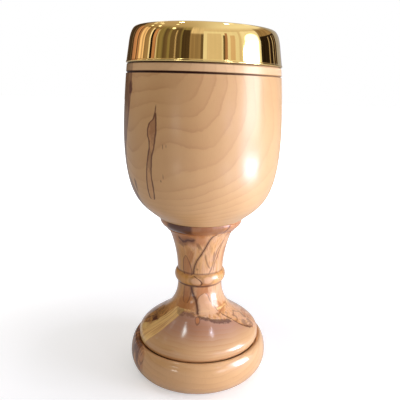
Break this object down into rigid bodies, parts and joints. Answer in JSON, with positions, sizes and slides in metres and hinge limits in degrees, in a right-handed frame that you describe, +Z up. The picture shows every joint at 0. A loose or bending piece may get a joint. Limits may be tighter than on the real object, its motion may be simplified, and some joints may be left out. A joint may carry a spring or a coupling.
{
  "type": "chalice",
  "caption": "Turned wooden chalice: a deep round bowl with a polished gilt rim band and cup, on a waisted stem with a bead, a domed shoulder and a round foot.",
  "frame": {"origin": "middle of the underside, on the felt's lower face, where the turning axis meets the table", "axes": "+Z up along the turning axis; -Y towards the side seen in the picture; +X to that side's right"},
  "size_m": [0.093, 0.093, 0.21],
  "materials": {
    "bowl_wood": "satin lacquer",
    "stem_wood": "satin lacquer",
    "foot_wood": "satin lacquer",
    "gilt": "gilt, mirror polished",
    "brass": "turned",
    "cork": "raw cork",
    "steel": "plain",
    "felt": "pressed felt"
  },
  "bodies": {
    "root": {"foot": "foot_wood", "stem": "stem_wood", "bowl": "bowl_wood", "rim_band": "gilt", "cup_liner": "gilt", "cup_boss": "brass", "cork_ring": "cork", "tie_rod": "steel", "hex_nut": "steel", "spring_washer": "steel", "flat_washer": "steel", "felt_pad": "felt"}
  },
  "joints": []
}
